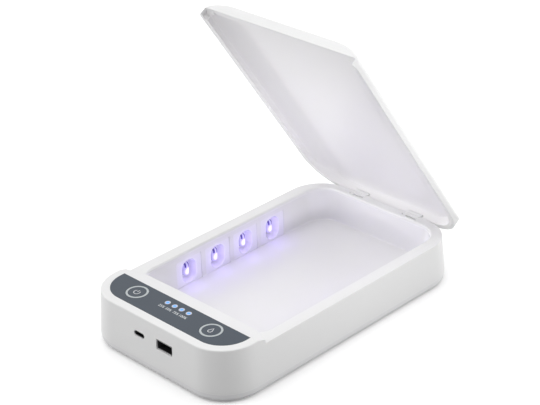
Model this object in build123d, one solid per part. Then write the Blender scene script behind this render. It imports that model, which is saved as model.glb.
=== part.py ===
"""UV sanitizer box for phones: tub with hinged lid, control deck and USB ports.

Frame: X across the box, Y along it with the hinge at +Y, Z up from the surface it stands on.
The lid is drawn closed and then turned open about its hinge pins.
"""
from build123d import *
from math import cos, radians, sin, tan
import os

# ---- driving dimensions, mm -------------------------------------------------------------
RIM_WIDTH = 127.4            # outline of the tub's rim
RIM_LENGTH = 215.2
RIM_Z = 31.6
DECK_Z = 36.0                # top of the raised control deck
SEAM_Z = 6.5                 # parting line between housing and bottom cover
COVER_Z = 0.8                # underside of the bottom cover, above the feet
CORNER_R = 25.5              # plan corner radius at the rim
DRAFT = 4.3                  # degrees, outer walls lean in towards the top
WALL = 2.2

TUB_HALF_WIDTH = 54.2        # inner opening
TUB_FRONT_Y = -68.8          # under the deck, whose rear edge overhangs it
TUB_BACK_Y = 100.3
TUB_FRONT_R = 10.5
TUB_BACK_R = 15.8
TUB_WALL = 1.8
FLOOR_Z = 6.9
LIP_CHAMFER = 1.0

SLOPE_TOP_Y = -78.4          # the deck falls from here down to the tub's front edge
SLOPE_FOOT_Y = -64.3
DECK_BACK_Y = -65.8          # its rear edge, at the middle
STEP_KNEE = (50.0, -66.4)    # where the rear edge starts to sweep forward
STEP_END = (66.5, -74.2)

PANEL_INSET = 6.0
PANEL_BACK_Y = -78.9
PANEL_DEPTH = 0.8
BUTTON_X = 33.8
BUTTON_Y = -88.7
BUTTON_R = 7.3
BUTTON_TRAVEL = 0.5
RING_WIDTH = 1.3
LIGHT_PITCH = 6.4
LIGHT_Y = -84.7
LIGHT_BEZEL_R = 1.95
LIGHT_LENS_R = 1.15

PORT_Z = 23.3
USB_C_X = -11.0
USB_A_X = 12.0

UV_FIRST_Y = -27.0           # the four lamps on each long wall of the tub
UV_PITCH = 26.0
UV_COUNT = 4
UV_Z = 16.6

LID_HALF_WIDTH = 67.1
LID_FRONT_Y = -79.3
LID_BACK_Y = 113.2
LID_EDGE_Z = 31.9            # lower edge of the closed lid, just above the rim
LID_HEIGHT = 11.6
LID_WALL = 2.0
LID_OPEN = 56.3              # degrees
LID_SKIRT = 2.0              # straight part of the lid's side, below the crown
LID_FRONT_R = 6.0
LID_BACK_R = 28.0
LID_NOTCH = 57.3             # between its corners the front edge is cut up, to lie over the deck

HINGE_Y = 107.6
HINGE_Z = 30.4
HINGE_X = 24.0
KNUCKLE_R = 1.5
LID_KNUCKLE = 12.0
CASE_KNUCKLE = 5.0
KNUCKLE_GAP = 0.3
PIN_R = 0.6

SIDES = {"left": -1, "right": 1}


# ---- helpers ----------------------------------------------------------------------------
def block(x0, x1, y0, y1, z0, z1):
    """Box between two corners."""
    return Pos((x0 + x1) / 2, (y0 + y1) / 2, (z0 + z1) / 2) * Box(x1 - x0, y1 - y0, z1 - z0)


def post(x, y, z0, z1, r):
    """Upright cylinder."""
    return Pos(x, y, (z0 + z1) / 2) * Cylinder(r, z1 - z0)


def bar(x0, x1, y, z, r):
    """Cylinder along X."""
    return Pos((x0 + x1) / 2, y, z) * Rot(0, 90, 0) * Cylinder(r, x1 - x0)


def group(shapes):
    """Several separate solids that share one node."""
    return Compound(children=[s for shape in shapes for s in shape.solids()])


def case_outline(z, inset=0.0):
    """Plan of the drafted outer wall at height z."""
    grow = (RIM_Z - z) * tan(radians(DRAFT)) - inset
    plan = RectangleRounded(RIM_WIDTH + 2 * grow, RIM_LENGTH + 2 * grow, CORNER_R + grow)
    return Pos(0, 0, z) * plan


def case_block(z0, z1, inset=0.0):
    """Solid inside the outer wall, between two heights."""
    return loft([case_outline(z0, inset), case_outline(z1, inset)], ruled=True)


def tub_plan(grow=0.0):
    """Plan of the tub: a rectangle with rounder corners at the back."""
    half = TUB_HALF_WIDTH + grow
    front, back = TUB_FRONT_Y - grow, TUB_BACK_Y + grow
    face = make_face(Polyline((-half, front), (half, front), (half, back), (-half, back), (-half, front)))
    face = fillet(face.vertices().group_by(Axis.Y)[0], TUB_FRONT_R + grow)
    return fillet(face.vertices().group_by(Axis.Y)[-1], TUB_BACK_R + grow)


def tub_block(z0, z1, grow=0.0):
    return extrude(Pos(0, 0, z0) * tub_plan(grow), z1 - z0)


def screw_places():
    return [(s * x, y) for x, y in (FRONT_POST, BACK_POST) for s in (-1, 1)]


def post_foot(y):
    """Where a screw post of the housing meets its boss on the bottom cover."""
    return FRONT_POST_FOOT_Z if y < 0 else BACK_POST_FOOT_Z


def uv_places():
    return [UV_FIRST_Y + i * UV_PITCH for i in range(UV_COUNT)]


def light_places():
    first = -LIGHT_PITCH * (4 - 1) / 2
    return [first + i * LIGHT_PITCH for i in range(4)]


def opened(shape):
    """Turn a piece of the closed lid open about the hinge axis."""
    axis = Axis((0, HINGE_Y, HINGE_Z), (1, 0, 0))
    return shape.rotate(axis, -LID_OPEN)


# ---- main housing -----------------------------------------------------------------------
CEILING = 2.2                # thickness of the rim and deck
DECK_CEILING_Z = 33.4
FRONT_POST = (52.0, -90.0)
BACK_POST = (52.5, 98.6)
FRONT_POST_R = 3.2
BACK_POST_R = 2.0
FRONT_POST_FOOT_Z = 6.0
BACK_POST_FOOT_Z = 4.8         # stays under the tub's floor
SLOT_LENGTH, SLOT_WIDTH, SLOT_DEPTH = 9.6, 1.8, 1.4
SLOT_Y = 104.0
SLOT_HOLE_X = 7.6            # small hole beside each slot
EDGE_ROUND = 0.8


def behind_deck(low=RIM_Z):
    """Space above the rim, behind the deck's swept rear edge."""
    (kx, ky), (ex, ey) = STEP_KNEE, STEP_END
    far = 140
    middle = ThreePointArc((-kx, ky), (0, DECK_BACK_Y), (kx, ky))
    right = ThreePointArc((kx, ky), (kx + 6.2, ky - 2.8), (ex, ey))
    left = ThreePointArc((-ex, ey), (-kx - 6.2, ky - 2.8), (-kx, ky))
    rest = Polyline((ex, ey), (ex + 20, ey), (ex + 20, far), (-ex - 20, far), (-ex - 20, ey), (-ex, ey))
    plan = make_face([left, middle, right] + list(rest.edges()))
    return extrude(Pos(0, 0, low) * plan, 30)


def above_slope():
    """Wedge removed over the slope between panel and tub."""
    rise = (DECK_Z - RIM_Z) / (SLOPE_FOOT_Y - SLOPE_TOP_Y)
    far_y = SLOPE_FOOT_Y + 10
    low = RIM_Z - rise * (far_y - SLOPE_FOOT_Y)
    profile = make_face(Polyline(
        (SLOPE_TOP_Y, DECK_Z), (far_y, low), (far_y, DECK_Z + 10), (SLOPE_TOP_Y, DECK_Z + 10),
        (SLOPE_TOP_Y, DECK_Z)))
    wedge = extrude(Plane.YZ * profile, 80, both=True)
    return wedge & block(-80, 80, SLOPE_TOP_Y - 1, 200, RIM_Z, DECK_Z + 20)


def housing_cavity():
    """Room inside the walls: under the rim, and higher under the deck."""
    low = case_block(SEAM_Z - 1, RIM_Z - CEILING, WALL)
    high = case_block(RIM_Z - CEILING - 0.5, DECK_CEILING_Z, WALL)
    high &= block(-80, 80, -120, SLOPE_TOP_Y - 1.5, 0, 50)
    return low + high


def hinge_spans():
    """X ranges of the two case knuckles of the hinge at +X, inner then outer."""
    inner = HINGE_X - LID_KNUCKLE / 2 - KNUCKLE_GAP
    outer = HINGE_X + LID_KNUCKLE / 2 + KNUCKLE_GAP
    return (inner - CASE_KNUCKLE, inner), (outer, outer + CASE_KNUCKLE)


def port_cuts():
    """Mouths of the two sockets, through the front wall."""
    depth = 12
    a_mouth = extrude(Plane.XZ * Pos(USB_A_X, PORT_Z) * RectangleRounded(14.4, 7.1, 0.6), depth)
    c_mouth = extrude(Plane.XZ * Pos(USB_C_X, PORT_Z) * SlotOverall(9.6, 3.8), depth)
    return [Pos(0, -98, 0) * a_mouth, Pos(0, -98, 0) * c_mouth]


def panel_plan(grow=0.0):
    """Dark panel: the deck's own outline moved inwards, cut straight at the back."""
    plan = case_outline(DECK_Z, PANEL_INSET - grow)
    keep = Pos(0, -140 + PANEL_BACK_Y + grow, DECK_Z) * Rectangle(200, 280)
    return plan & keep


def main_housing():
    body = case_block(SEAM_Z, DECK_Z)
    top = body.faces().sort_by(Axis.Z)[-1]
    body = fillet(top.edges(), EDGE_ROUND)
    body -= housing_cavity()
    body -= behind_deck()
    body -= above_slope()
    # tub opening with its bright chamfered lip
    mouth = behind_deck(SEAM_Z)
    body -= tub_block(SEAM_Z, DECK_Z + 1) & mouth
    lip = loft([Pos(0, 0, RIM_Z - LIP_CHAMFER) * tub_plan(0.0),
                Pos(0, 0, RIM_Z + 0.01) * tub_plan(LIP_CHAMFER)], ruled=True)
    body -= lip & mouth
    # seat of the dark panel, button wells and light holes
    body -= extrude(Pos(0, 0, -PANEL_DEPTH) * panel_plan(0.1), 5)
    for side in SIDES.values():
        body -= post(side * BUTTON_X, BUTTON_Y, DECK_CEILING_Z - 2, DECK_Z + 1, BUTTON_R + 0.2)
    for x in light_places():
        body -= post(x, LIGHT_Y, DECK_CEILING_Z - 2, DECK_Z + 1, LIGHT_LENS_R + 0.1)
    for cut in port_cuts():
        body -= cut
    # screw posts reach down to the bottom cover
    for x, y in screw_places():
        radius = FRONT_POST_R if y < 0 else BACK_POST_R
        top = DECK_CEILING_Z + 0.5 if y < 0 else RIM_Z - 1
        body += post(x, y, post_foot(y), top, radius)
        body -= post(x, y, post_foot(y) - 1, post_foot(y) + 9, 1.0)
    # rim slots over the hinges, each with a small hole beside it
    for side in SIDES.values():
        x = side * HINGE_X
        slot = Pos(x + 1.5, SLOT_Y, RIM_Z - SLOT_DEPTH) * SlotOverall(SLOT_LENGTH, SLOT_WIDTH)
        body -= extrude(slot, SLOT_DEPTH + 1)
        body -= post(x + 1.5 - SLOT_HOLE_X, SLOT_Y + 0.3, RIM_Z - SLOT_DEPTH, RIM_Z + 1, 0.7)
    # hinge: solid block in the back wall, knuckles, recess for the lid's knuckle, pin hole
    for side in SIDES.values():
        (a0, a1), (b0, b1) = hinge_spans()
        ends = sorted((side * a0, side * b1))
        body += block(ends[0], ends[1], HINGE_Y - 4.6, HINGE_Y - 1.4, HINGE_Z - 6.5, RIM_Z - SLOT_DEPTH - 0.6)
        for lo, hi in ((a0, a1), (b0, b1)):
            x0, x1 = sorted((side * lo, side * hi))
            body += bar(x0, x1, HINGE_Y, HINGE_Z, KNUCKLE_R)
        x0, x1 = sorted((side * a0, side * b1))
        body -= block(x0, x1, HINGE_Y - 4, HINGE_Y + 3, RIM_Z, RIM_Z + 2)
        x0, x1 = sorted((side * a1, side * b0))
        body -= bar(x0, x1, HINGE_Y, HINGE_Z, KNUCKLE_R + 0.35)
        body -= block(x0, x1, HINGE_Y - 1.0, HINGE_Y + 6, HINGE_Z - 5.5, HINGE_Z)
        pin0, pin1 = sorted((side * (a0 + 1), side * (b1 + 1)))
        body -= bar(pin0, pin1, HINGE_Y, HINGE_Z, PIN_R + 0.05)
    return body


# ---- inner tub --------------------------------------------------------------------------
PLATE_WIDTH, PLATE_HEIGHT = 22.0, 19.2
PLATE_FIT = 0.1
FLOOR_THICK = 1.8
FLOOR_ROUND = 3.0


def inner_tub():
    top = RIM_Z - CEILING
    tub = tub_block(FLOOR_Z - FLOOR_THICK, top, TUB_WALL)
    room = tub_block(FLOOR_Z, top)
    low_edges = room.faces().sort_by(Axis.Z)[0].edges()
    room = fillet(low_edges, 1.0)
    tub -= room
    tub -= tub_block(top - 2, top + 1)
    half_w, half_h = PLATE_WIDTH / 2 + PLATE_FIT, PLATE_HEIGHT / 2 + PLATE_FIT
    for side in SIDES.values():
        x0, x1 = sorted((side * (TUB_HALF_WIDTH - 1), side * (TUB_HALF_WIDTH + TUB_WALL + 1)))
        for y in uv_places():
            tub -= block(x0, x1, y - half_w, y + half_w, UV_Z - half_h, UV_Z + half_h)
    return tub


# ---- UV lamps ---------------------------------------------------------------------------
POCKET_WIDTH, POCKET_HEIGHT, POCKET_R = 12.4, 16.6, 5.5
POCKET_DEPTH = 5.2
CUP_WALL = 1.0
LENS_WIDTH, LENS_HEIGHT, LENS_RISE = 5.2, 10.4, 3.8
LENS_SHIFT_Y, LENS_SHIFT_Z = -0.3, 0.4       # from the pocket's middle
BOARD_GAP = 0.4


def upright_plan(width, height, r):
    """Rounded rectangle standing in the YZ plane."""
    return Plane.YZ * RectangleRounded(width, height, r)


def uv_reflector(side, y):
    """Plate in the tub's wall with a deep round-cornered pocket that holds one lamp."""
    face_x = TUB_HALF_WIDTH + 0.15
    plate = Pos(face_x, y, UV_Z) * extrude(upright_plan(PLATE_WIDTH, PLATE_HEIGHT, 0.8), TUB_WALL)
    cup = Pos(face_x, y, UV_Z) * extrude(
        upright_plan(POCKET_WIDTH + 2 * CUP_WALL, POCKET_HEIGHT + 2 * CUP_WALL, POCKET_R + CUP_WALL),
        POCKET_DEPTH + CUP_WALL)
    mouth = Pos(face_x - 0.01, y, UV_Z) * upright_plan(POCKET_WIDTH, POCKET_HEIGHT, POCKET_R)
    bottom = Pos(face_x + POCKET_DEPTH, y + LENS_SHIFT_Y, UV_Z + LENS_SHIFT_Z) * upright_plan(
        POCKET_WIDTH - 3.4, POCKET_HEIGHT - 3.4, POCKET_R - 1.6)
    pocket = loft([mouth, bottom], ruled=True)
    piece = plate + cup - pocket
    piece -= Pos(face_x + POCKET_DEPTH - 0.5, y + LENS_SHIFT_Y, UV_Z + LENS_SHIFT_Z) * extrude(
        upright_plan(LENS_WIDTH + 0.4, LENS_HEIGHT + 0.4, LENS_WIDTH / 2 + 0.15), CUP_WALL + 2)
    return mirror(piece, Plane.YZ) if side < 0 else piece


def uv_board_x():
    return TUB_HALF_WIDTH + 0.15 + POCKET_DEPTH + CUP_WALL + BOARD_GAP


def uv_board(side):
    """Long narrow circuit board behind the four pockets of one wall."""
    y0, y1 = uv_places()[0] - 12, uv_places()[-1] + 12
    x0, x1 = sorted((side * uv_board_x(), side * (uv_board_x() + 1.0)))
    return block(x0, x1, y0, y1, UV_Z - 4, UV_Z + 6)


def uv_leds(side):
    """Lamps of one wall, standing on their board: each is an upright capsule with a domed front."""
    base_x = uv_board_x()
    lens = extrude(upright_plan(LENS_WIDTH, LENS_HEIGHT, LENS_WIDTH / 2 - 0.05), -(LENS_RISE + CUP_WALL + BOARD_GAP))
    lens = fillet(lens.faces().sort_by(Axis.X)[0].edges(), LENS_WIDTH / 2 - 0.4)
    lamps = []
    for y in uv_places():
        one = Pos(base_x, y + LENS_SHIFT_Y, UV_Z + LENS_SHIFT_Z) * lens
        lamps.append(mirror(one, Plane.YZ) if side < 0 else one)
    return group(lamps)


# ---- bottom cover -----------------------------------------------------------------------
COVER_FLOOR = 2.0
COVER_INSET = 0.35
COVER_ROUND = 3.4
FOOT_R = 5.5
FOOT_RECESS = 0.6
FOOT_PLACES = [(-40, -86), (40, -86), (-44, 84), (44, 84)]
BOARD_POSTS = [(-42, -100), (42, -100), (-42, -75), (42, -75)]
BOARD_Z = 18.6
BOARD_THICK = 1.6
SCREW_HEAD_R = 2.4


def bottom_cover():
    outer = case_block(COVER_Z, SEAM_Z, COVER_INSET)
    outer = fillet(outer.faces().sort_by(Axis.Z)[0].edges(), COVER_ROUND)
    inner = case_block(COVER_Z + COVER_FLOOR, SEAM_Z + 1, COVER_INSET + 2.6)
    cover = outer - inner
    # lip that locates the housing
    lip = case_block(SEAM_Z - 1, SEAM_Z + 1.4, WALL + 0.15) - case_block(SEAM_Z - 2, SEAM_Z + 2, WALL + 1.45)
    cover += lip
    floor_top = COVER_Z + COVER_FLOOR
    for x, y in screw_places():
        radius = 4.2 if y < 0 else 3.6
        cover += post(x, y, floor_top - 0.5, post_foot(y), radius)
        cover -= post(x, y, COVER_Z - 1, post_foot(y) + 1, 1.3)
        cover -= post(x, y, post_foot(y), SEAM_Z + 3, (FRONT_POST_R if y < 0 else BACK_POST_R) + 0.2)
        cover -= post(x, y, COVER_Z - 1, COVER_Z + 1.8, SCREW_HEAD_R + 0.2)
    for x, y in BOARD_POSTS:
        cover += post(x, y, floor_top - 0.5, BOARD_Z, 2.6)
        cover -= post(x, y, BOARD_Z - 8, BOARD_Z + 1, 0.9)
    for x, y in FOOT_PLACES:
        cover -= post(x, y, COVER_Z - 1, COVER_Z + FOOT_RECESS, FOOT_R + 0.1)
    # vent slits under the battery
    for i in range(-4, 5):
        slit = Pos(i * 5, -60, COVER_Z - 1) * SlotOverall(16, 1.6, rotation=90)
        cover -= extrude(slit, COVER_FLOOR + 2)
    return cover


def foot(x, y):
    pad = post(x, y, 0, COVER_Z + FOOT_RECESS, FOOT_R)
    return fillet(pad.faces().sort_by(Axis.Z)[0].edges(), 0.5)


def screw(x, y, head_z, head_r, head_h, shank_r, length):
    """Pan-head screw driven upwards, with a cross recess in its head."""
    head = post(x, y, head_z, head_z + head_h, head_r)
    shank = post(x, y, head_z + head_h, head_z + head_h + length, shank_r)
    cross = block(x - head_r * 0.6, x + head_r * 0.6, y - 0.3, y + 0.3, head_z - 1, head_z + 0.8)
    cross += block(x - 0.3, x + 0.3, y - head_r * 0.6, y + head_r * 0.6, head_z - 1, head_z + 0.8)
    return head + shank - cross


def case_screws():
    return group([screw(x, y, COVER_Z + 0.3, SCREW_HEAD_R, 1.5, 0.98, 9.0) for x, y in screw_places()])


def board_screws():
    top = BOARD_Z + BOARD_THICK
    flip = [Pos(x, y, 0) * Rot(180, 0, 0) * screw(0, 0, -top - 1.2, 1.9, 1.2, 0.88, 6.0)
            for x, y in BOARD_POSTS]
    return group(flip)


# ---- electronics under the deck ---------------------------------------------------------
SWITCH_BOARD_Z = 27.2
SWITCH_BODY_H = 2.6
PLUNGER_R = 1.5
STEM_R = 1.8
REED_Y, REED_R = -81.8, 1.1


def main_board():
    top = BOARD_Z + BOARD_THICK
    board = block(-47, 47, -104, -71, BOARD_Z, top)
    for x, y in BOARD_POSTS:
        board -= post(x, y, BOARD_Z - 1, top + 1, 1.1)
    # chips, coil and connector on its top
    board += block(-30, -23, -88, -81, top, top + 1.0)
    board += block(-4, 6, -84, -74, top, top + 1.4)
    board += post(30, -84, top, top + 3.0, 4.0)
    board += block(-38, -32, -100, -92, top, top + 4.0)
    return board


def usb_a_socket():
    """Drawn steel shell of the socket, open to the front."""
    y0, y1 = -107.6, -93.6
    outer = extrude(Plane.XZ * Pos(USB_A_X, PORT_Z) * RectangleRounded(13.6, 6.1, 0.5), y1 - y0)
    inner = extrude(Plane.XZ * Pos(USB_A_X, PORT_Z) * RectangleRounded(12.9, 5.4, 0.3), y1 - y0 - 1)
    return Pos(0, y1, 0) * outer - Pos(0, y1 - 1.0, 0) * inner


def usb_a_tongue():
    return block(USB_A_X - 5.6, USB_A_X + 5.6, -105.6, -94.6, PORT_Z + 0.3, PORT_Z + 2.1)


def usb_c_socket():
    y0, y1 = -107.8, -100.4
    outer = extrude(Plane.XZ * Pos(USB_C_X, PORT_Z) * SlotOverall(9.2, 3.4), y1 - y0)
    inner = extrude(Plane.XZ * Pos(USB_C_X, PORT_Z) * SlotOverall(8.6, 2.8), y1 - y0 - 0.8)
    return Pos(0, y1, 0) * outer - Pos(0, y1 - 0.8, 0) * inner


def usb_c_tongue():
    return block(USB_C_X - 3.3, USB_C_X + 3.3, -106.3, -101.2, PORT_Z - 0.35, PORT_Z + 0.35)


def battery_pack():
    pack = block(-34, 34, -103, -72, 4.2, 13.2)
    return fillet(pack.edges(), 1.5)


def switch_board():
    board = block(-45, 45, -97, -80.6, SWITCH_BOARD_Z, SWITCH_BOARD_Z + 1.2)
    for x in (-20, 20):
        board -= post(x, -92, SWITCH_BOARD_Z - 1, SWITCH_BOARD_Z + 2, 1.2)
    return board


def tact_switch(side):
    x, z0 = side * BUTTON_X, SWITCH_BOARD_Z + 1.2
    body = block(x - 3, x + 3, BUTTON_Y - 3, BUTTON_Y + 3, z0, z0 + SWITCH_BODY_H)
    return body - post(x, BUTTON_Y, z0 + 1.0, z0 + SWITCH_BODY_H + 1, PLUNGER_R + 0.1)


def switch_plunger(side):
    z0 = SWITCH_BOARD_Z + 1.2 + 1.0 + BUTTON_TRAVEL + 0.2
    return post(side * BUTTON_X, BUTTON_Y, z0, SWITCH_BOARD_Z + 1.2 + SWITCH_BODY_H + 0.6, PLUNGER_R)


def button_cap(side):
    """Round key: flush disc, wide retaining flange under the deck, and a stem to the switch."""
    x = side * BUTTON_X
    cap = post(x, BUTTON_Y, 32.6, DECK_Z - 0.05, BUTTON_R)
    cap += post(x, BUTTON_Y, 32.4, 33.1, BUTTON_R + 0.9)
    cap -= post(x, BUTTON_Y, 32.0, 34.4, BUTTON_R - 1.6)
    cap += post(x, BUTTON_Y, SWITCH_BOARD_Z + 1.2 + SWITCH_BODY_H + 0.6, 34.6, STEM_R)
    groove = post(x, BUTTON_Y, DECK_Z - 0.4, DECK_Z + 1, BUTTON_R)
    groove -= post(x, BUTTON_Y, DECK_Z - 1, DECK_Z + 2, BUTTON_R - RING_WIDTH)
    return cap - groove


def button_ring(side):
    """Pale ring set into the edge of the key."""
    x = side * BUTTON_X
    ring = post(x, BUTTON_Y, DECK_Z - 0.4, DECK_Z - 0.02, BUTTON_R)
    return ring - post(x, BUTTON_Y, DECK_Z - 1, DECK_Z + 1, BUTTON_R - RING_WIDTH)


def control_panel():
    panel = extrude(Pos(0, 0, -PANEL_DEPTH) * panel_plan(), PANEL_DEPTH)
    for side in SIDES.values():
        panel -= post(side * BUTTON_X, BUTTON_Y, 30, 40, BUTTON_R + 0.2)
    for x in light_places():
        panel -= post(x, LIGHT_Y, 30, 40, LIGHT_BEZEL_R + 0.05)
    return panel


def status_bezels():
    rings = []
    for x in light_places():
        ring = post(x, LIGHT_Y, DECK_Z - PANEL_DEPTH, DECK_Z + 0.1, LIGHT_BEZEL_R)
        rings.append(ring - post(x, LIGHT_Y, 30, 40, LIGHT_LENS_R + 0.05))
    return group(rings)


def status_lens(index):
    x = light_places()[index]
    return post(x, LIGHT_Y, SWITCH_BOARD_Z + 2.2, DECK_Z + 0.05, LIGHT_LENS_R)


def status_leds():
    z0 = SWITCH_BOARD_Z + 1.2
    return group([block(x - 0.8, x + 0.8, LIGHT_Y - 0.5, LIGHT_Y + 0.5, z0, z0 + 0.8)
                  for x in light_places()])


def reed_switch():
    """Glass switch behind the lights that senses the magnet of the closed lid."""
    return bar(-7, 7, REED_Y, SWITCH_BOARD_Z + 1.2 + REED_R, REED_R)


# ---- lid --------------------------------------------------------------------------------
CROWN_WIDTH = 24.0           # the top falls away over this width at each side
CROWN_DROP = 8.2             # and over this height
CROWN_REACH = 26.0           # half-axis of the ellipse the fall follows
BACK_FALL = 14.0             # the back end falls away too
BACK_DROP = 6.0
EDGE_SOFT = 2.2


def ellipse_drop(reach, width, drop, part):
    """Height lost at a part of the way out, on an ellipse that loses drop over width."""
    full = 1 - (1 - (width / reach) ** 2) ** 0.5
    return drop * (1 - (1 - (part * width / reach) ** 2) ** 0.5) / full


def crown_profile(half, top, low, steps=10):
    """Cross-section of the lid: flat in the middle, falling away to each side."""
    start = LID_HALF_WIDTH - CROWN_WIDTH
    width = half - start
    right = [(start + width * i / steps,
              top - ellipse_drop(CROWN_REACH, CROWN_WIDTH, CROWN_DROP, i / steps * width / CROWN_WIDTH))
             for i in range(steps + 1)]
    left = [(-x, z) for x, z in reversed(right)]
    side_z = right[-1][1]
    return make_face([
        Line((-start, top), (start, top)),
        Spline(*right, tangents=((1, 0), (right[-1][0] - right[-2][0], right[-1][1] - right[-2][1]))),
        Line((half, side_z), (half, low)), Line((half, low), (-half, low)), Line((-half, low), (-half, side_z)),
        Spline(*left, tangents=((left[1][0] - left[0][0], left[1][1] - left[0][1]), (1, 0))),
    ])


def lid_form(inset=0.0, drop=0.0, foot_z=LID_EDGE_Z):
    """Solid within the lid: its outline, under the crowned top, with a softened edge."""
    half = LID_HALF_WIDTH - inset
    front, back = LID_FRONT_Y + inset, LID_BACK_Y - inset
    top = LID_EDGE_Z + LID_HEIGHT - drop
    plan = make_face(Polyline((-half, front), (half, front), (half, back), (-half, back), (-half, front)))
    plan = fillet(plan.vertices().group_by(Axis.Y)[0], LID_FRONT_R - inset)
    plan = fillet(plan.vertices().group_by(Axis.Y)[-1], LID_BACK_R - inset)
    upright = extrude(Pos(0, 0, foot_z) * plan, 60)
    crown = extrude(Plane.XZ.offset(-150) * crown_profile(half, top, foot_z - 5), 300)
    fall_y, fall_z = LID_BACK_Y - BACK_FALL, LID_EDGE_Z + LID_HEIGHT - BACK_DROP
    fall = make_face([
        Line((-200, foot_z - 6), (-200, top)), Line((-200, top), (fall_y, top)),
        EllipticalCenterArc((fall_y, fall_z), BACK_FALL - inset, BACK_DROP - drop, start_angle=0, arc_size=90),
        Line((back, fall_z), (back, foot_z - 6)), Line((back, foot_z - 6), (-200, foot_z - 6)),
    ])
    return upright & crown & extrude(Plane.YZ.offset(-100) * fall, 200)


def softened(form, radius, inset=0.0):
    """Round the edge where the crown meets the upright walls, except at the back's own fall."""
    ridge = [e for e in form.edges() if e.bounding_box().min.Z > LID_EDGE_Z + LID_SKIRT
             and on_outline(e.position_at(0.5), inset) and e.position_at(0.5).Y < LID_BACK_Y - BACK_FALL]
    return fillet(ridge, radius)


def on_outline(p, inset):
    """True on the upright wall of a form with this inset."""
    for corner_r, past in ((LID_FRONT_R, LID_FRONT_Y + LID_FRONT_R - p.Y),
                           (LID_BACK_R, p.Y - LID_BACK_Y + LID_BACK_R)):
        beside = abs(p.X) - (LID_HALF_WIDTH - corner_r)
        if beside > 0 and past > 0:
            return abs((beside ** 2 + past ** 2) ** 0.5 - (corner_r - inset)) < 0.05
    return min(abs(abs(p.X) - LID_HALF_WIDTH + inset), abs(p.Y - LID_FRONT_Y - inset)) < 0.05


ARM_BACK_Y = LID_BACK_Y - 0.1
ARM_LOW_Z = HINGE_Z - 1.2
ARM_TOP_Z = HINGE_Z + 3.6
LINER_GAP = 0.15
LINER_THICK = 1.2
LINER_RIM = 2.4              # its side walls are thicker, so that they cover the rim's edge
MAGNET_WIDTH, MAGNET_THICK, MAGNET_LOW_Z, MAGNET_HEIGHT = 8.0, 1.1, 36.9, 2.6


def deck_clearance(gap, rise):
    """The raised deck, a little larger: what the lid's front edge has to clear."""
    half = RIM_WIDTH / 2 + gap
    deck = block(-half, half, LID_FRONT_Y - 5, -55, LID_EDGE_Z - 5, DECK_Z)
    deck -= behind_deck(LID_EDGE_Z - 6) + above_slope()
    deck += block(-LID_NOTCH, LID_NOTCH, LID_FRONT_Y - 5, -74, LID_EDGE_Z - 5, DECK_Z)
    return Pos(0, gap, rise) * deck


def magnet_block(grow=0.0):
    """Place of the small bar magnet in the lid's front wall."""
    half = MAGNET_WIDTH / 2 + grow
    y1 = LID_FRONT_Y + LID_WALL + 1.0
    return block(-half, half, y1 - MAGNET_THICK - grow, y1 + grow,
                 MAGNET_LOW_Z - grow, MAGNET_LOW_Z + MAGNET_HEIGHT + grow)


def lid_shell():
    outer = softened(lid_form(), EDGE_SOFT)
    inner = softened(lid_form(LID_WALL, LID_WALL, LID_EDGE_Z - 1), 1.4, LID_WALL)
    shell = outer - inner
    shell -= deck_clearance(0.5, 0.35)
    shell -= magnet_block(0.1)
    for side in SIDES.values():
        x0, x1 = sorted((side * (HINGE_X - LID_KNUCKLE / 2), side * (HINGE_X + LID_KNUCKLE / 2)))
        shell += block(x0, x1, HINGE_Y + 0.6, ARM_BACK_Y, ARM_LOW_Z, ARM_TOP_Z)
        shell += bar(x0, x1, HINGE_Y, HINGE_Z, KNUCKLE_R)
        shell -= bar(x0 - 1, x1 + 1, HINGE_Y, HINGE_Z, PIN_R + 0.1)
    return opened(shell)


def lid_liner():
    """Glossy inner tray that follows the underside of the shell."""
    inset = LID_WALL + LINER_GAP
    outer = softened(lid_form(inset, inset, LID_EDGE_Z), 1.4, inset)
    inner = softened(lid_form(inset + LINER_RIM, inset + LINER_THICK, LID_EDGE_Z - 1), 1.4, inset + LINER_RIM)
    liner = outer - inner
    liner -= deck_clearance(0.7, 0.5)
    liner -= magnet_block(0.1)
    for side in SIDES.values():
        x0, x1 = sorted((side * (HINGE_X - LID_KNUCKLE / 2 - 0.4), side * (HINGE_X + LID_KNUCKLE / 2 + 0.4)))
        liner -= block(x0, x1, HINGE_Y - 3, 115, 25, ARM_TOP_Z + 0.4)
    return opened(liner)


def lid_magnet():
    return opened(magnet_block())


def hinge_pin(side):
    (a0, _), (_, b1) = hinge_spans()
    x0, x1 = sorted((side * (a0 + 1.1), side * (b1 + 0.2)))
    return bar(x0, x1, HINGE_Y, HINGE_Z, PIN_R)


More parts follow.
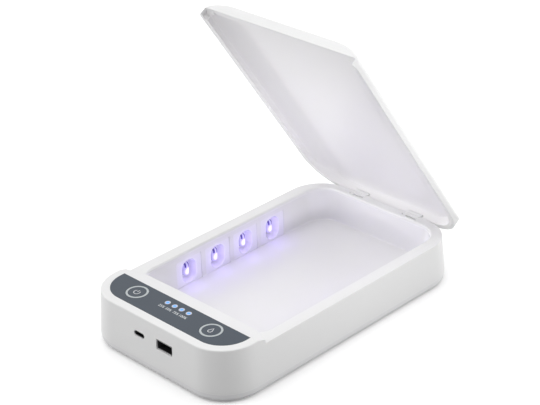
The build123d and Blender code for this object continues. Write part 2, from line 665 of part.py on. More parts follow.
# ---- write one file per piece -------------------------------------------------------------
def all_pieces():
    pieces = {
        "main_housing": main_housing(),
        "inner_tub": inner_tub(),
        "bottom_cover": bottom_cover(),
        "case_screws": case_screws(),
        "board_screws": board_screws(),
        "main_board": main_board(),
        "usb_a_socket": usb_a_socket(),
        "usb_a_tongue": usb_a_tongue(),
        "usb_c_socket": usb_c_socket(),
        "usb_c_tongue": usb_c_tongue(),
        "battery_pack": battery_pack(),
        "switch_board": switch_board(),
        "control_panel": control_panel(),
        "status_bezels": status_bezels(),
        "status_leds": status_leds(),
        "reed_switch": reed_switch(),
        "lid_magnet": lid_magnet(),
        "lid_shell": lid_shell(),
        "lid_liner": lid_liner(),
    }
    corners = ("front_left", "front_right", "back_left", "back_right")
    for name, (x, y) in zip(corners, FOOT_PLACES):
        pieces[f"foot_{name}"] = foot(x, y)
    for index in range(4):
        pieces[f"status_lens_{index + 1}"] = status_lens(index)
    for name, side in SIDES.items():
        pieces[f"uv_board_{name}"] = uv_board(side)
        pieces[f"uv_leds_{name}"] = uv_leds(side)
        for index, y in enumerate(uv_places()):
            pieces[f"uv_reflector_{name}_{index + 1}"] = uv_reflector(side, y)
        pieces[f"tact_switch_{name}"] = tact_switch(side)
        pieces[f"switch_plunger_{name}"] = switch_plunger(side)
        pieces[f"button_{name}"] = button_cap(side)
        pieces[f"button_ring_{name}"] = button_ring(side)
        pieces[f"hinge_pin_{name}"] = hinge_pin(side)
    return pieces


os.makedirs("parts", exist_ok=True)
for node, shape in all_pieces().items():
    export_step(shape, f"parts/{node}.step")
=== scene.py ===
from math import atan, cos, radians, sin

import bmesh
import bpy
from mathutils import Euler, Matrix, Vector


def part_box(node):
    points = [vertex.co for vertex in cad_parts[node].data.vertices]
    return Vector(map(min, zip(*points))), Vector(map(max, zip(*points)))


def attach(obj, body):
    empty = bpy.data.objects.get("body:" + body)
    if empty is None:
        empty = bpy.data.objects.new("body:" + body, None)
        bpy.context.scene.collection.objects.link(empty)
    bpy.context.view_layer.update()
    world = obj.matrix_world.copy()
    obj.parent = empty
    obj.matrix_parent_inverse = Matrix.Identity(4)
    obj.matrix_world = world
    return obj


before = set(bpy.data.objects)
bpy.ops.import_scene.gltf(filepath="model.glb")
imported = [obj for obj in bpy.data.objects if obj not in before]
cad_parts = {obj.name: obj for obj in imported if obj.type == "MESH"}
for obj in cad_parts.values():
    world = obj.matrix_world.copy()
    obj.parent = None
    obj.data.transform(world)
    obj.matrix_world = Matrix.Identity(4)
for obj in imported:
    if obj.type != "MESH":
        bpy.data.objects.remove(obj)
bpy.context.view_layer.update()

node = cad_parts


# ---- bottom cover -----------------------------------------------------------------------
# Shallow white ABS dish that closes the box from below. It is injection moulded in a finely
# spark-eroded tool, so its skin is matte with a faint grain, and four screws hold it.
# The cover's white is painted a little darker than the housing's, as painted shade on the part that
# faces the floor.
COVER_SHADED_WHITE, SEAM_HIGHLIGHT_WHITE = (0.75, 0.75, 0.76, 1), (0.93, 0.93, 0.93, 1)
# the second number is the height of the painted highlight band under the parting line
SEAM_Z, HIGHLIGHT_BAND = 0.0065, 0.0006      # parting line, and the height of the chamfer under it


def mould_grain():
    """Node group: faint cloudiness of a moulded skin, and the height of its fine grain."""
    tree = bpy.data.node_groups.new("mould_grain", "ShaderNodeTree")
    for name, kind, value in (
        ("Colour", "NodeSocketColor", (0.8, 0.8, 0.8, 1)),
        ("Cloudiness", "NodeSocketFloat", 0.02),
        ("Roughness", "NodeSocketFloat", 0.5),
        ("Spread", "NodeSocketFloat", 0.05),
        ("Grain per metre", "NodeSocketFloat", 4500.0),
        ("Stretch", "NodeSocketVector", (1, 1, 1)),
    ):
        socket = tree.interface.new_socket(name, in_out="INPUT", socket_type=kind)
        socket.default_value = value
    for name, kind in (("Colour", "NodeSocketColor"), ("Roughness", "NodeSocketFloat"),
                       ("Height", "NodeSocketFloat")):
        tree.interface.new_socket(name, in_out="OUTPUT", socket_type=kind)
    nodes, link = tree.nodes, tree.links.new
    given, out = nodes.new("NodeGroupInput"), nodes.new("NodeGroupOutput")
    place = nodes.new("ShaderNodeTexCoord")
    cloud = nodes.new("ShaderNodeTexNoise")
    cloud.inputs["Scale"].default_value = 38.0
    cloud.inputs["Detail"].default_value = 4.0
    grain = nodes.new("ShaderNodeTexNoise")
    grain.inputs["Detail"].default_value = 2.0
    drawn = nodes.new("ShaderNodeVectorMath")
    drawn.operation = "MULTIPLY"
    link(place.outputs["Object"], drawn.inputs[0])
    link(given.outputs["Stretch"], drawn.inputs[1])
    link(drawn.outputs[0], cloud.inputs["Vector"])
    link(drawn.outputs[0], grain.inputs["Vector"])
    link(given.outputs["Grain per metre"], grain.inputs["Scale"])
    # the cloud runs from -1 to 1, and shades the colour and the gloss about their own values
    centred = nodes.new("ShaderNodeMath")
    centred.operation = "MULTIPLY_ADD"
    centred.inputs[1].default_value, centred.inputs[2].default_value = 2.0, -1.0
    link(cloud.outputs["Fac"], centred.inputs[0])
    shade = nodes.new("ShaderNodeMath")
    shade.operation = "MULTIPLY_ADD"
    link(centred.outputs[0], shade.inputs[0])
    link(given.outputs["Cloudiness"], shade.inputs[1])
    shade.inputs[2].default_value = 1.0
    tinted = nodes.new("ShaderNodeVectorMath")
    tinted.operation = "SCALE"
    link(given.outputs["Colour"], tinted.inputs[0])
    link(shade.outputs[0], tinted.inputs["Scale"])
    link(tinted.outputs[0], out.inputs["Colour"])
    rough = nodes.new("ShaderNodeMath")
    rough.operation = "MULTIPLY_ADD"
    link(centred.outputs[0], rough.inputs[0])
    link(given.outputs["Spread"], rough.inputs[1])
    link(given.outputs["Roughness"], rough.inputs[2])
    link(rough.outputs[0], out.inputs["Roughness"])
    link(grain.outputs["Fac"], out.inputs["Height"])
    return tree


GRAIN = mould_grain()


def moulded(name, colour, roughness, cloudiness=0.015, spread=0.04, grain=4500.0, depth=0.000012,
            stretch=(1, 1, 1), **plain):
    """A skin whose colour and gloss vary faintly, and whose grain stands up by depth metres.

    grain counts per metre, and plain holds constants for the shader's own sockets.
    """
    material = bpy.data.materials.new(name)
    material.use_nodes = True
    nodes, link = material.node_tree.nodes, material.node_tree.links.new
    shader = nodes["Principled BSDF"]
    skin = nodes.new("ShaderNodeGroup")
    skin.node_tree = GRAIN
    for socket, value in (("Colour", colour), ("Cloudiness", cloudiness), ("Roughness", roughness),
                          ("Spread", spread), ("Grain per metre", grain), ("Stretch", stretch)):
        skin.inputs[socket].default_value = value
    bump = nodes.new("ShaderNodeBump")
    bump.inputs["Strength"].default_value = 0.6
    bump.inputs["Distance"].default_value = depth
    link(skin.outputs["Colour"], shader.inputs["Base Color"])
    link(skin.outputs["Roughness"], shader.inputs["Roughness"])
    link(skin.outputs["Height"], bump.inputs["Height"])
    link(bump.outputs["Normal"], shader.inputs["Normal"])
    for socket, value in plain.items():
        shader.inputs[socket.replace("_", " ")].default_value = value
    return material


def ramp(tree, value, low, high, at_low=0.0, at_high=1.0):
    """Smooth step of a value, from at_low where it is low to at_high where it is high."""
    step = tree.nodes.new("ShaderNodeMapRange")
    step.interpolation_type = "SMOOTHSTEP"
    for socket, number in (("From Min", low), ("From Max", high), ("To Min", at_low),
                           ("To Max", at_high)):
        step.inputs[socket].default_value = number
    tree.links.new(value, step.inputs["Value"])
    return step.outputs["Result"]


def tint(material, socket, mask, marked, plain=None):
    """Lead into a shader socket the marked colour where mask is 1, and elsewhere the plain one.

    Without a plain colour, what led into the socket before is kept there.
    """
    tree = material.node_tree
    target = tree.nodes["Principled BSDF"].inputs[socket]
    mix = tree.nodes.new("ShaderNodeMix")
    mix.data_type = "RGBA"
    mix.inputs[7].default_value = marked
    if plain is None:
        tree.links.new(target.links[0].from_socket, mix.inputs[6])
    else:
        mix.inputs[6].default_value = plain
    tree.links.new(mask, mix.inputs[0])
    tree.links.new(mix.outputs[2], target)


def dress(material, *names):
    """Give CAD pieces a finish."""
    for name in names:
        slots = node[name].data.materials
        slots.clear()
        slots.append(material)


# painted shade: the cover gets a darker white than the housing's same matte skin
cover = moulded("cover_skin_shade_and_highlight", COVER_SHADED_WHITE, 0.46)
# painted highlight: a pale line round the top edge, for the light its fine polished chamfer catches
cover_place = cover.node_tree.nodes.new("ShaderNodeTexCoord")
cover_height = cover.node_tree.nodes.new("ShaderNodeSeparateXYZ")
cover.node_tree.links.new(cover_place.outputs["Object"], cover_height.inputs[0])
tint(cover, "Base Color", ramp(cover.node_tree, cover_height.outputs["Z"], SEAM_Z - HIGHLIGHT_BAND,
                               SEAM_Z - HIGHLIGHT_BAND / 3), SEAM_HIGHLIGHT_WHITE)
dress(cover, "bottom_cover")


# ---- feet -------------------------------------------------------------------------------
# Four soft dark grey rubber pads, die-cut from embossed sheet and glued into shallow recesses
# of the bottom cover. The embossing shows as close fine dimples.
rubber = moulded("foot_rubber", (0.15, 0.15, 0.155, 1), 0.78, cloudiness=0.07, spread=0.06,
                 grain=1500.0, depth=0.00008)
dress(rubber, "foot_front_left", "foot_front_right", "foot_back_left", "foot_back_right")


# ---- screws and hinge pins --------------------------------------------------------------
# Zinc-plated steel self-tapping screws with cross recesses, and plain steel pins. Rolling
# leaves faint rings round the screws, and drawing leaves faint streaks along the pins.
ROUND_SCREW, ALONG_PIN = (1, 1, 12), (0.2, 6, 6)      # how close the streaks lie in each axis


def metal(name, colour, roughness, stretch=ROUND_SCREW):
    """Metal whose gloss and colour vary in faint streaks."""
    return moulded(name, colour, roughness, cloudiness=0.05, spread=0.08, grain=2600.0,
                   depth=0.000004, stretch=stretch, Metallic=1.0)


dress(metal("screw_steel", (0.56, 0.56, 0.58, 1), 0.32), "case_screws", "board_screws")
dress(metal("pin_steel", (0.60, 0.60, 0.62, 1), 0.25, ALONG_PIN),
      "hinge_pin_left", "hinge_pin_right")


# ---- boards -----------------------------------------------------------------------------
# Glass-epoxy boards, green for the electronics and white behind the lamps. Copper tracks run
# under the matte solder mask, and show through it as paler lines.
def track_lines():
    """Node group: mask of long straight tracks joined by short ones, like courses of brick."""
    tree = bpy.data.node_groups.new("track_lines", "ShaderNodeTree")
    pitch = tree.interface.new_socket("Tracks per metre", in_out="INPUT",
                                      socket_type="NodeSocketFloat")
    pitch.default_value = 620.0
    tree.interface.new_socket("Track", in_out="OUTPUT", socket_type="NodeSocketFloat")
    nodes, link = tree.nodes, tree.links.new
    given, out = nodes.new("NodeGroupInput"), nodes.new("NodeGroupOutput")
    place = nodes.new("ShaderNodeTexCoord")
    courses = nodes.new("ShaderNodeTexBrick")
    for socket, value in (("Mortar Size", 0.12), ("Mortar Smooth", 0.1), ("Brick Width", 5.0),
                          ("Row Height", 1.0)):
        courses.inputs[socket].default_value = value
    link(place.outputs["Object"], courses.inputs["Vector"])
    link(given.outputs["Tracks per metre"], courses.inputs["Scale"])
    link(courses.outputs["Fac"], out.inputs["Track"])
    return tree


TRACKS = track_lines()


def masked_board(name, mask, copper):
    """Solder mask of one colour, with the copper showing through it in another."""
    material = moulded(name, mask, 0.36, cloudiness=0.08, spread=0.06, grain=1800.0, depth=0.00002)
    tracks = material.node_tree.nodes.new("ShaderNodeGroup")
    tracks.node_tree = TRACKS
    tint(material, "Base Color", tracks.outputs["Track"], copper)
    return material


dress(masked_board("solder_mask", (0.016, 0.115, 0.055, 1), (0.035, 0.20, 0.085, 1)),
      "main_board", "switch_board")
dress(masked_board("lamp_board_mask", (0.62, 0.63, 0.62, 1), (0.75, 0.75, 0.72, 1)),
      "uv_board_left", "uv_board_right")


# ---- chip parts -------------------------------------------------------------------------
# Rows of small ceramic chip parts, black between tinned ends, reflow-soldered on the main
# board's top face in the free places between its larger parts.
CHIP = 0.001                                    # over its ends
CHIP_BODY, CHIP_END = (0.7, 0.55, 0.36), (0.2, 0.6, 0.4)      # sizes as shares of that
CHIP_END_SHIFT = 0.42                           # of an end from the middle, as such a share
TAKEN_SHARE = 0.72                              # of the places in the grid
BOARD_THICK = 0.0016


def chip_rows():
    """Geometry Nodes tree: a grid of chips, thinned at random, each along or across its row."""
    tree = bpy.data.node_groups.new("chip_rows", "GeometryNodeTree")
    for name, kind, value in (
        ("Width", "NodeSocketFloat", 0.012), ("Depth", "NodeSocketFloat", 0.010),
        ("Columns", "NodeSocketInt", 6), ("Rows", "NodeSocketInt", 5),
        ("Chip", "NodeSocketFloat", CHIP), ("Seed", "NodeSocketInt", 4),
        ("Body", "NodeSocketMaterial", None), ("Ends", "NodeSocketMaterial", None),
    ):
        socket = tree.interface.new_socket(name, in_out="INPUT", socket_type=kind)
        if value is not None:
            socket.default_value = value
    tree.interface.new_socket("Geometry", in_out="OUTPUT", socket_type="NodeSocketGeometry")
    nodes, link = tree.nodes, tree.links.new
    given, out = nodes.new("NodeGroupInput"), nodes.new("NodeGroupOutput")

    def chips_long(shares):
        """A length in each axis, from its share of the chip's length."""
        scaled = nodes.new("ShaderNodeVectorMath")
        scaled.operation = "SCALE"
        scaled.inputs[0].default_value = shares
        link(given.outputs["Chip"], scaled.inputs["Scale"])
        return scaled.outputs[0]

    grid = nodes.new("GeometryNodeMeshGrid")
    for socket, source in (("Size X", "Width"), ("Size Y", "Depth"), ("Vertices X", "Columns"),
                           ("Vertices Y", "Rows")):
        link(given.outputs[source], grid.inputs[socket])
    chip = nodes.new("GeometryNodeJoinGeometry")
    for shift, size, finish in ((0, CHIP_BODY, "Body"), (-CHIP_END_SHIFT, CHIP_END, "Ends"),
                                (CHIP_END_SHIFT, CHIP_END, "Ends")):
        block = nodes.new("GeometryNodeMeshCube")
        link(chips_long(size), block.inputs["Size"])
        placed = nodes.new("GeometryNodeTransform")
        link(block.outputs["Mesh"], placed.inputs["Geometry"])
        link(chips_long((shift, 0, size[2] / 2)), placed.inputs["Translation"])
        coated = nodes.new("GeometryNodeSetMaterial")
        link(placed.outputs["Geometry"], coated.inputs["Geometry"])
        link(given.outputs[finish], coated.inputs["Material"])
        link(coated.outputs["Geometry"], chip.inputs["Geometry"])
    taken = nodes.new("FunctionNodeRandomValue")
    taken.data_type = "BOOLEAN"
    taken.inputs["Probability"].default_value = TAKEN_SHARE
    link(given.outputs["Seed"], taken.inputs["Seed"])
    across = nodes.new("FunctionNodeRandomValue")
    across.data_type = "INT"
    across.inputs[4].default_value, across.inputs[5].default_value = 0, 1
    link(given.outputs["Seed"], across.inputs["Seed"])
    angle = nodes.new("ShaderNodeMath")
    angle.operation = "MULTIPLY"
    angle.inputs[1].default_value = radians(90)
    link(across.outputs[2], angle.inputs[0])
    turn = nodes.new("ShaderNodeCombineXYZ")
    link(angle.outputs[0], turn.inputs["Z"])
    spread = nodes.new("GeometryNodeInstanceOnPoints")
    link(grid.outputs["Mesh"], spread.inputs["Points"])
    link(chip.outputs["Geometry"], spread.inputs["Instance"])
    link(taken.outputs[3], spread.inputs["Selection"])
    link(turn.outputs[0], spread.inputs["Rotation"])
    real = nodes.new("GeometryNodeRealizeInstances")
    link(spread.outputs["Instances"], real.inputs["Geometry"])
    link(real.outputs["Geometry"], out.inputs["Geometry"])
    return tree


def grown(name, tree, middle, **values):
    """Plain mesh that a Geometry Nodes tree makes, moved to middle."""
    maker = bpy.data.objects.new(name + "_maker", bpy.data.meshes.new(name + "_maker"))
    bpy.context.scene.collection.objects.link(maker)
    modifier = maker.modifiers.new("grow", "NODES")
    modifier.node_group = tree
    for item in tree.interface.items_tree:
        if item.in_out == "INPUT" and item.name in values:
            modifier[item.identifier] = values[item.name]
    graph = bpy.context.evaluated_depsgraph_get()
    mesh = bpy.data.meshes.new_from_object(maker.evaluated_get(graph), depsgraph=graph)
    bpy.data.objects.remove(maker)
    mesh.transform(Matrix.Translation(middle))
    mesh.name = name
    piece = bpy.data.objects.new(name, mesh)
    bpy.context.scene.collection.objects.link(piece)
    return piece


ceramic = moulded("chip_ceramic", (0.02, 0.02, 0.022, 1), 0.4, cloudiness=0.2, spread=0.08,
                  grain=3000.0, depth=0.000006)
tinned = metal("tinned_end", (0.66, 0.65, 0.62, 1), 0.3)
board_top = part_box("main_board")[0][2] + BOARD_THICK
CHIP_TREE = chip_rows()
for label, x, y, width, depth, columns, rows, seed in (
    ("left", -0.0125, -0.0790, 0.0120, 0.0100, 6, 5, 4),
    ("middle", 0.0160, -0.0800, 0.0140, 0.0100, 7, 5, 9),
    ("port_side", 0.0290, -0.0960, 0.0180, 0.0080, 8, 4, 15),
):
    chips = grown("chip_parts_" + label, CHIP_TREE, (x, y, board_top), Width=width, Depth=depth,
                  Columns=columns, Rows=rows, Chip=CHIP, Seed=seed, Body=ceramic, Ends=tinned)
    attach(chips, "base")


# ---- battery and switches ---------------------------------------------------------------
# A lithium pack in blue heat-shrink film, and two black tactile switches with white nylon
# plungers under the keys. The film puckers in fine creases where it has shrunk.
dress(moulded("battery_wrap", (0.045, 0.11, 0.25, 1), 0.24, cloudiness=0.10, spread=0.10,
              grain=260.0, depth=0.00025, Coat_Weight=0.3), "battery_pack")
black_nylon = moulded("black_nylon", (0.012, 0.012, 0.014, 1), 0.5, cloudiness=0.1, spread=0.05)
white_nylon = moulded("white_nylon", (0.75, 0.75, 0.72, 1), 0.4)
dress(black_nylon, "tact_switch_left", "tact_switch_right")
dress(white_nylon, "switch_plunger_left", "switch_plunger_right")


# ---- reed switch and magnet -------------------------------------------------------------
# A sealed greenish glass tube whose reeds close when the lid's magnet comes near, and that
# magnet, a sintered bar plated with nickel.
dress(moulded("reed_glass", (0.55, 0.66, 0.60, 1), 0.12, cloudiness=0.04, spread=0.03,
              Transmission_Weight=0.6), "reed_switch")
dress(metal("magnet_nickel", (0.60, 0.58, 0.54, 1), 0.22, stretch=(1, 1, 1)), "lid_magnet")


# ---- USB sockets ------------------------------------------------------------------------
# Drawn and folded steel shells, tin-plated, round tongues of black nylon. They are soldered
# to the main board just behind their mouths in the front wall.
dress(metal("socket_steel", (0.30, 0.30, 0.31, 1), 0.30, stretch=(1, 4, 1)),
      "usb_a_socket", "usb_c_socket")
dress(black_nylon, "usb_a_tongue", "usb_c_tongue")


# ---- inner tub --------------------------------------------------------------------------
# Glossy white ABS tray. Its polished tool leaves a smooth skin that mirrors what lies in it,
# with a very slight waviness.
dress(moulded("tub_gloss", (0.825, 0.82, 0.825, 1), 0.26, cloudiness=0.010, spread=0.03,
              grain=90.0, depth=0.00005, Coat_Weight=0.25, Coat_Roughness=0.08), "inner_tub")


# ---- UV lamps ---------------------------------------------------------------------------
# Four domed lamps along each long wall, each in a glossy moulded cup that throws its light
# across the tub. Through the clear dome show two dark leads and, under them, the lit die.
LAMP_Y, LAMP_PITCH, LAMP_Z, LAMPS = -0.0273, 0.026, 0.0170, 4
LAMP_LIGHT_X, LAMP_WATTS, LAMP_VIOLET = 0.0490, 0.0018, (0.40, 0.28, 1.0)
LEAD_SHIFT, LEAD_WIDTH, LEAD_SOFT = 0.0013, 0.0012, 0.0003
LEAD_FOOT, LEAD_HEAD = (0.0012, 0.0022), (0.0052, 0.0046)     # where each fades, over LAMP_Z
DIE_Y, DIE_Z, DIE_HALF_WIDTH, DIE_HALF_HEIGHT = 0.0003, -0.0014, 0.0026, 0.0029
DIE_EDGE, DIE_HEART = 1.1, 0.3                  # squared share of those at which it fades
DOME_LILAC, LEAD_VIOLET = (0.70, 0.68, 0.88, 1), (0.10, 0.075, 0.33, 1)
DIE_GLOW, DARK = (0.42, 0.40, 0.50, 1), (0, 0, 0, 1)


def dome_marks():
    """Node group: masks of the two leads and of the lit die in every dome of a row."""
    tree = bpy.data.node_groups.new("dome_marks", "ShaderNodeTree")
    for name, value in (("First lamp Y", LAMP_Y), ("Pitch", LAMP_PITCH), ("Lamp Z", LAMP_Z)):
        socket = tree.interface.new_socket(name, in_out="INPUT", socket_type="NodeSocketFloat")
        socket.default_value = value
    for name in ("Leads", "Die"):
        tree.interface.new_socket(name, in_out="OUTPUT", socket_type="NodeSocketFloat")
    nodes, link = tree.nodes, tree.links.new
    given, out = nodes.new("NodeGroupInput"), nodes.new("NodeGroupOutput")

    def calc(kind, *values):
        """Output of a Math node that takes sockets and numbers."""
        step = nodes.new("ShaderNodeMath")
        step.operation = kind
        for i, value in enumerate(values):
            if hasattr(value, "is_output"):
                link(value, step.inputs[i])
            else:
                step.inputs[i].default_value = value
        return step.outputs[0]

    place = nodes.new("ShaderNodeTexCoord")
    split = nodes.new("ShaderNodeSeparateXYZ")
    link(place.outputs["Object"], split.inputs[0])
    half = calc("MULTIPLY", given.outputs["Pitch"], 0.5)
    along = calc("SUBTRACT", split.outputs["Y"], given.outputs["First lamp Y"])
    along = calc("WRAP", along, half, calc("MULTIPLY", half, -1.0))
    up = calc("SUBTRACT", split.outputs["Z"], given.outputs["Lamp Z"])
    from_lead = calc("ABSOLUTE", calc("SUBTRACT", calc("ABSOLUTE", along), LEAD_SHIFT))
    across = ramp(tree, from_lead, (LEAD_WIDTH + LEAD_SOFT) / 2, (LEAD_WIDTH - LEAD_SOFT) / 2)
    upright = calc("MULTIPLY", ramp(tree, up, *LEAD_FOOT), ramp(tree, up, *LEAD_HEAD))
    link(calc("MULTIPLY", across, upright), out.inputs["Leads"])
    # the die glows in an oval, and fades by the squared shares of its half width and height
    wide = calc("DIVIDE", calc("SUBTRACT", along, DIE_Y), DIE_HALF_WIDTH)
    high = calc("DIVIDE", calc("SUBTRACT", up, DIE_Z), DIE_HALF_HEIGHT)
    oval = calc("ADD", calc("POWER", wide, 2.0), calc("POWER", high, 2.0))
    link(ramp(tree, oval, DIE_EDGE, DIE_HEART), out.inputs["Die"])
    return tree


dress(moulded("cup_gloss", (0.86, 0.85, 0.89, 1), 0.2, cloudiness=0.02, spread=0.04,
              grain=300.0, depth=0.00002, Coat_Weight=0.25, Coat_Roughness=0.08),
      *[f"uv_reflector_{side}_{i + 1}" for side in ("left", "right") for i in range(LAMPS)])
dome = moulded("uv_lamp", DOME_LILAC, 0.08, cloudiness=0.0, spread=0.02, grain=400.0,
               depth=0.00001, Coat_Weight=0.5, Emission_Strength=1.0)
marks = dome.node_tree.nodes.new("ShaderNodeGroup")
marks.node_tree = dome_marks()
tint(dome, "Base Color", marks.outputs["Leads"], LEAD_VIOLET)
tint(dome, "Emission Color", marks.outputs["Die"], DIE_GLOW, plain=DARK)
dress(dome, "uv_leds_left", "uv_leds_right")

for side in (-1, 1):
    for i in range(LAMPS):
        data = bpy.data.lights.new("lamp_light", "POINT")
        data.energy, data.color, data.shadow_soft_size = LAMP_WATTS, LAMP_VIOLET, 0.002
        light = bpy.data.objects.new("lamp_light", data)
        light.visible_glossy = False
        light.location = (side * LAMP_LIGHT_X, LAMP_Y + i * LAMP_PITCH, LAMP_Z)
        bpy.context.scene.collection.objects.link(light)


# ---- main housing -----------------------------------------------------------------------
# One white ABS moulding of outer walls, rim and raised deck. It comes from the same finely
# eroded tool as the bottom cover, and has the same matte skin.
dress(moulded("housing_skin", (0.79, 0.79, 0.79, 1), 0.42), "main_housing")


# ---- control panel and keys -------------------------------------------------------------
# Slate-grey moulded plate pressed into its seat in the deck, with a satin skin. The keys are
# of the same plastic, each with a pale ring let into its face.
dress(moulded("panel_slate", (0.068, 0.083, 0.104, 1), 0.38, cloudiness=0.05, spread=0.05,
              grain=3500.0, depth=0.00001, Specular_IOR_Level=0.25),
      "control_panel", "button_left", "button_right")
dress(moulded("ring_grey", (0.47, 0.51, 0.52, 1), 0.3, cloudiness=0.03),
      "button_ring_left", "button_ring_right")


# ---- printed marks ----------------------------------------------------------------------
# Pale grey pad-printed ink: the four charge levels under the lights, and a plain sign on each
# key. The ink stands two hundredths of a millimetre proud.
INK_THICK = 0.00002
LEVELS = ("25%", "50%", "75%", "100%")
LEVEL_Y, LEVEL_PITCH, LEVEL_HEIGHT, LEVEL_WEIGHT = -0.0899, 0.0064, 0.0021, 0.00003
CAPITAL_SHARE = 0.7                             # height of a figure, as a share of the type size
KEY_X, KEY_Y, SIGN_LINE = 0.0338, -0.0887, 0.00050
POWER_RADIUS, POWER_FALL, POWER_ANGLES = 0.0021, 0.0002, range(130, 411, 10)
POWER_BAR = ((0, 0.0002), (0, 0.0024))
DROP_RADIUS, DROP_FALL, DROP_ANGLES = 0.0014, 0.0010, range(150, 391, 12)
DROP_TIP = ((0.0005, 0.0012), (0, 0.0024), (-0.0005, 0.0012))
ink = moulded("printing_ink", (0.64, 0.66, 0.68, 1), 0.45, cloudiness=0.05, spread=0.05,
              grain=5000.0, depth=0.000004)


def printed(name, mesh, x, y, face_z, body):
    """Put a flat mesh of ink on a face."""
    mesh.transform(Matrix.Translation((x, y, face_z + INK_THICK / 2)))
    mesh.materials.clear()
    mesh.materials.append(ink)
    mark = bpy.data.objects.new(name, mesh)
    bpy.context.scene.collection.objects.link(mark)
    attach(mark, body)


def figures(words, height):
    """Closed mesh of a few characters, lying flat and centred."""
    curve = bpy.data.curves.new("figures", "FONT")
    curve.body, curve.size = words, height / CAPITAL_SHARE
    curve.align_x, curve.align_y = "CENTER", "CENTER"
    curve.extrude, curve.resolution_u, curve.offset = INK_THICK / 2, 3, LEVEL_WEIGHT
    letters = bpy.data.objects.new("figures", curve)
    bpy.context.scene.collection.objects.link(letters)
    graph = bpy.context.evaluated_depsgraph_get()
    mesh = bpy.data.meshes.new_from_object(letters.evaluated_get(graph), depsgraph=graph)
    bpy.data.objects.remove(letters)
    return mesh


def inked_line(points, closed=False):
    """Closed flat mesh of a line of ink along points."""
    line = bmesh.new()
    count = len(points)
    low, high = -INK_THICK / 2, INK_THICK / 2
    rows = []
    for i, (x, y) in enumerate(points):
        before = points[i - 1] if i or closed else points[i]
        after = points[(i + 1) % count] if i < count - 1 or closed else points[i]
        along = (Vector(after) - Vector(before)).normalized()
        across = Vector((-along.y, along.x)) * SIGN_LINE / 2
        rows.append([line.verts.new((x + side * across.x, y + side * across.y, z))
                     for side, z in ((-1, low), (1, low), (1, high), (-1, high))])
    for i in range(count if closed else count - 1):
        near, far = rows[i], rows[(i + 1) % count]
        for j in range(4):
            line.faces.new((near[j], near[(j + 1) % 4], far[(j + 1) % 4], far[j]))
    if not closed:
        line.faces.new(rows[0])
        line.faces.new(rows[-1][::-1])
    bmesh.ops.recalc_face_normals(line, faces=line.faces)
    mesh = bpy.data.meshes.new("inked_line")
    line.to_mesh(mesh)
    line.free()
    return mesh


def arc(radius, fall, angles):
    """Points on a circle that lies fall below the middle, at angles in degrees."""
    return [(radius * cos(radians(a)), radius * sin(radians(a)) - fall) for a in angles]


panel_top, key_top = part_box("control_panel")[1][2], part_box("button_left")[1][2]
for i, words in enumerate(LEVELS):
    x = LEVEL_PITCH * (i - (len(LEVELS) - 1) / 2)
    printed("level_mark_" + words[:-1], figures(words, LEVEL_HEIGHT), x, LEVEL_Y, panel_top, "base")
power_ring = arc(POWER_RADIUS, POWER_FALL, POWER_ANGLES)
drop = arc(DROP_RADIUS, DROP_FALL, DROP_ANGLES)
for name, mesh, x, body in (
    ("key_sign_left_arc", inked_line(power_ring), -KEY_X, "button_left_body"),
    ("key_sign_left_bar", inked_line(POWER_BAR), -KEY_X, "button_left_body"),
    ("key_sign_right", inked_line([*drop, *DROP_TIP], closed=True), KEY_X, "button_right_body"),
):
    printed(name, mesh, x, KEY_Y, key_top, body)


# ---- status lights ----------------------------------------------------------------------
# Four clear acrylic light pipes, lit blue by small white chip packages on the switch board.
# Each ends just under the top of a moulded bezel of pale grey ABS, pressed into the panel.
dress(white_nylon, "status_leds")
dress(moulded("bezel_grey", (0.52, 0.55, 0.60, 1), 0.3, cloudiness=0.02), "status_bezels")
dress(moulded("light_blue", (0.08, 0.26, 0.85, 1), 0.2, cloudiness=0.04,
              Emission_Color=(0.12, 0.34, 0.86, 1), Emission_Strength=0.85),
      *[f"status_lens_{i + 1}" for i in range(len(LEVELS))])


# ---- lid --------------------------------------------------------------------------------
# Crowned white ABS cover with a satin skin, and a glossier white liner snapped into it that
# gives it a plain inner face.
dress(moulded("lid_skin", (0.80, 0.80, 0.80, 1), 0.38), "lid_shell")
dress(moulded("liner_gloss", (0.84, 0.83, 0.835, 1), 0.34, cloudiness=0.010, spread=0.03,
              grain=60.0, depth=0.00006, Coat_Weight=0.08, Coat_Roughness=0.12), "lid_liner")


# ---- floor ------------------------------------------------------------------------------
# Plain pale sweep of paper that the box stands on. To the eye it is white paper, and to the
# box's sides a duller one, so that they keep their own shade.
FLOOR_HALF = 6.0
PAPER_WHITE, PAPER_BOUNCE, PAPER_GLOW = (0.97, 0.97, 0.97, 1), (0.50, 0.50, 0.50, 1), 0.14


def seen_rays(tree):
    """1 for the rays that show the background itself: camera, glossy and transmission rays."""
    path = tree.nodes.new("ShaderNodeLightPath")
    seen = path.outputs["Is Camera Ray"]
    for other in ("Is Glossy Ray", "Is Transmission Ray"):
        either = tree.nodes.new("ShaderNodeMath")
        either.operation = "MAXIMUM"
        tree.links.new(seen, either.inputs[0])
        tree.links.new(path.outputs[other], either.inputs[1])
        seen = either.outputs[0]
    return seen


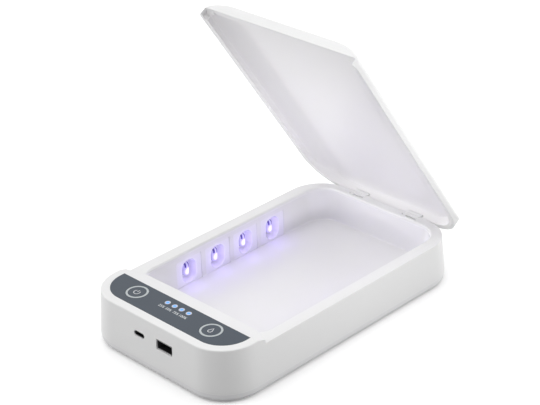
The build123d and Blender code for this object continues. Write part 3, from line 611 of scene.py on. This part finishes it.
floor_mesh = bpy.data.meshes.new("floor")
floor_mesh.from_pydata([(x * FLOOR_HALF, y * FLOOR_HALF, 0)
                        for x, y in ((-1, -1), (1, -1), (1, 1), (-1, 1))], [], [(0, 1, 2, 3)])
floor = bpy.data.objects.new("floor", floor_mesh)
bpy.context.scene.collection.objects.link(floor)
paper = bpy.data.materials.new("paper")
paper.use_nodes = True
floor_mesh.materials.append(paper)
paper_shader = paper.node_tree.nodes["Principled BSDF"]
for socket, value in (("Roughness", 0.9), ("Specular IOR Level", 0.0),
                      ("Emission Color", (1, 1, 1, 1))):
    paper_shader.inputs[socket].default_value = value
seen = seen_rays(paper.node_tree)
tint(paper, "Base Color", seen, PAPER_WHITE, plain=PAPER_BOUNCE)
glow = paper.node_tree.nodes.new("ShaderNodeMath")
glow.operation = "MULTIPLY"
glow.inputs[1].default_value = PAPER_GLOW
paper.node_tree.links.new(seen, glow.inputs[0])
paper.node_tree.links.new(glow.outputs[0], paper_shader.inputs["Emission Strength"])


# ---- lights -----------------------------------------------------------------------------
# A white room that is duller on the side of the box's rounded front corner, three soft boxes,
# and four spots that reach under the open lid and into the tub.
ROOM, DULL_ROOM, DULL_SIDE = 1.02, 0.16, (0.716, -0.695, 0.06)
DULL_FROM, DULL_FULL = 0.2, 1.0                 # cosine of a ray to the dull side
SOFTBOX_SIDE, SPOT_REACH = 0.9, 1.4
LID_MIDDLE, TUB_BACK = (0, 0.060, 0.110), (-0.004, 0.085, 0.030)
world = bpy.data.worlds.new("studio")
bpy.context.scene.world = world
world.use_nodes = True
world_nodes, world_link = world.node_tree.nodes, world.node_tree.links.new
room = world_nodes["Background"]
room.inputs["Color"].default_value = (1, 1, 1, 1)
skyward = world_nodes.new("ShaderNodeTexCoord")
facing = world_nodes.new("ShaderNodeVectorMath")
facing.operation = "DOT_PRODUCT"
facing.inputs[1].default_value = DULL_SIDE
world_link(skyward.outputs["Generated"], facing.inputs[0])
level = world_nodes.new("ShaderNodeMix")
level.data_type = "FLOAT"
level.inputs[3].default_value = 1.0
world_link(seen_rays(world.node_tree), level.inputs[0])
world_link(ramp(world.node_tree, facing.outputs["Value"], DULL_FROM, DULL_FULL, ROOM, DULL_ROOM),
           level.inputs[2])
world_link(level.outputs[0], room.inputs["Strength"])


def softbox(name, place, aim, watts):
    """Square area lamp at place, facing aim."""
    data = bpy.data.lights.new(name, "AREA")
    data.shape, data.size, data.energy = "SQUARE", SOFTBOX_SIDE, watts
    lamp = bpy.data.objects.new(name, data)
    lamp.location = place
    lamp.rotation_euler = (Vector(aim) - Vector(place)).to_track_quat("-Z", "Y").to_euler()
    bpy.context.scene.collection.objects.link(lamp)


def spot(name, way, aim, width, watts):
    """Soft spot lamp that stands off from aim along way, and lights a round of that width."""
    data = bpy.data.lights.new(name, "SPOT")
    data.energy, data.spot_blend, data.shadow_soft_size = watts, 0.7, 0.08
    data.spot_size = 2 * atan(width / 2 / SPOT_REACH)
    lamp = bpy.data.objects.new(name, data)
    lamp.location = Vector(aim) + Vector(way).normalized() * SPOT_REACH
    lamp.rotation_euler = (-Vector(way)).to_track_quat("-Z", "Y").to_euler()
    bpy.context.scene.collection.objects.link(lamp)


softbox("overhead", (-0.1, -0.6, 1.4), (0, 0, 0), 2.8)
softbox("left_end", (-1.15, -0.9, 0.55), (0, -0.05, 0.03), 4.4)
softbox("right_end", (1.0, 1.15, 0.6), (0.05, 0, 0.03), 6.6)
spot("lid_from_right", (0.86, -0.50, 0.10), LID_MIDDLE, 0.23, 28)
spot("lid_from_left", (-0.90, -0.45, 0.10), LID_MIDDLE, 0.22, 29)
spot("lid_from_front", (0, -1.0, 0.25), LID_MIDDLE, 0.21, 1)
spot("tub_from_front", (0.45, -0.58, 0.68), TUB_BACK, 0.19, 10)


# ---- camera -----------------------------------------------------------------------------
# A long lens, looking down over the rounded front corner from the right of the panel, and
# turned a little about its own axis. The three angles are in degrees.
AZIMUTH, ELEVATION, ROLL = 45.971, 27.733, -2.342
CAMERA_PLACE, FOCAL_LENGTH = (0.6690, -0.6494, 0.5658), 110.66
camera_data = bpy.data.cameras.new("camera")
camera_data.lens, camera_data.clip_start = FOCAL_LENGTH, 0.05
camera = bpy.data.objects.new("camera", camera_data)
bpy.context.scene.collection.objects.link(camera)
bpy.context.scene.camera = camera
turn = (Euler((radians(90 - ELEVATION), 0, radians(AZIMUTH))).to_matrix().to_4x4()
        @ Matrix.Rotation(radians(ROLL), 4, "Z"))
camera.matrix_world = Matrix.Translation(CAMERA_PLACE) @ turn

bpy.context.scene.view_settings.view_transform = "Standard"
